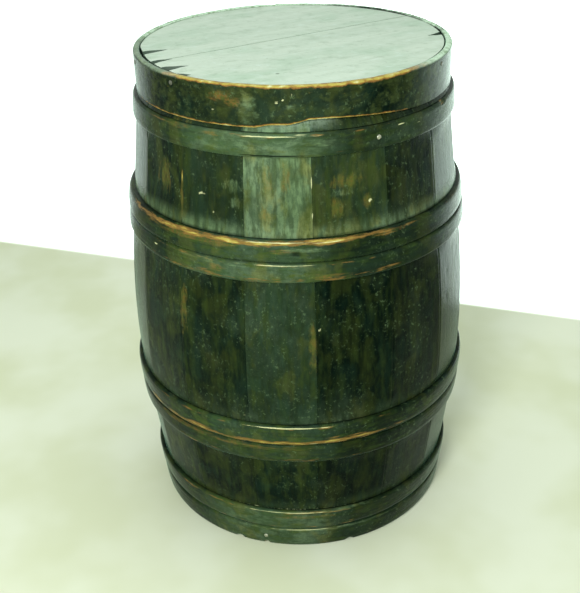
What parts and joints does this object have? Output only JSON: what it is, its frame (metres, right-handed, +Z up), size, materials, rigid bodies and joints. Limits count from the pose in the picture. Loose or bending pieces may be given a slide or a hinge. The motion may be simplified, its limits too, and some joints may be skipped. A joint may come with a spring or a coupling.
{
  "type": "oak wine cask with lift-off lid",
  "caption": "Bulging oak cask of jointed staves held by bent-wood hoops, with a two-board lift-off lid, a croze-held bottom head and a tapered bung in the rear stave.",
  "frame": {"origin": "centre of the foot, on the surface that the cask stands on", "axes": "+Z up along the cask's axis, the front with the notch under the lid faces -Y, the bung faces +Y"},
  "size_m": [0.4465, 0.4464, 0.62],
  "materials": {
    "stave_oak": "old dark varnish, glossy, mottled and scratched",
    "hoop_wood": "dark varnish, worn to golden wood on the edges",
    "lid_band_wood": "dark varnish, worn to golden wood on the rim",
    "lid_board_wood": "pale weathered wood, satin",
    "bare_oak": "bare oak, matte",
    "iron": "worn iron",
    "bung_wood": "stained hardwood, satin"
  },
  "bodies": {
    "cask": {"stave_01": "stave_oak", "stave_02": "stave_oak", "stave_03": "stave_oak", "stave_04": "stave_oak", "stave_05": "stave_oak", "stave_06": "stave_oak", "stave_07": "stave_oak", "stave_08": "stave_oak", "stave_09": "stave_oak", "stave_10": "stave_oak", "stave_11": "stave_oak", "stave_12": "stave_oak", "stave_13": "stave_oak", "stave_14": "stave_oak", "stave_15": "stave_oak", "stave_16": "stave_oak", "head_hoop": "hoop_wood", "upper_hoop_a": "hoop_wood", "upper_hoop_b": "hoop_wood", "lower_hoop_a": "hoop_wood", "lower_hoop_b": "hoop_wood", "foot_hoop_a": "hoop_wood", "foot_hoop_b": "hoop_wood", "hoop_nails": "iron", "bottom_board_left": "bare_oak", "bottom_board_middle": "bare_oak", "bottom_board_right": "bare_oak", "bottom_dowels": "bare_oak"},
    "lid": {"lid_band": "lid_band_wood", "lid_board_front": "lid_board_wood", "lid_board_rear": "lid_board_wood", "lid_batten_left": "bare_oak", "lid_batten_right": "bare_oak", "lid_dowels": "bare_oak", "batten_nails": "iron", "lid_band_nails": "iron"},
    "bung": {"bung": "bung_wood"}
  },
  "joints": [
    {"name": "lid_lift", "type": "slide", "parent": "cask", "child": "lid", "axis": [0, 0, 1], "range_m": [0, 0.25]},
    {"name": "bung_pull", "type": "slide", "parent": "cask", "child": "bung", "axis": [0, 1, 0], "range_m": [0, 0.06]}
  ]
}
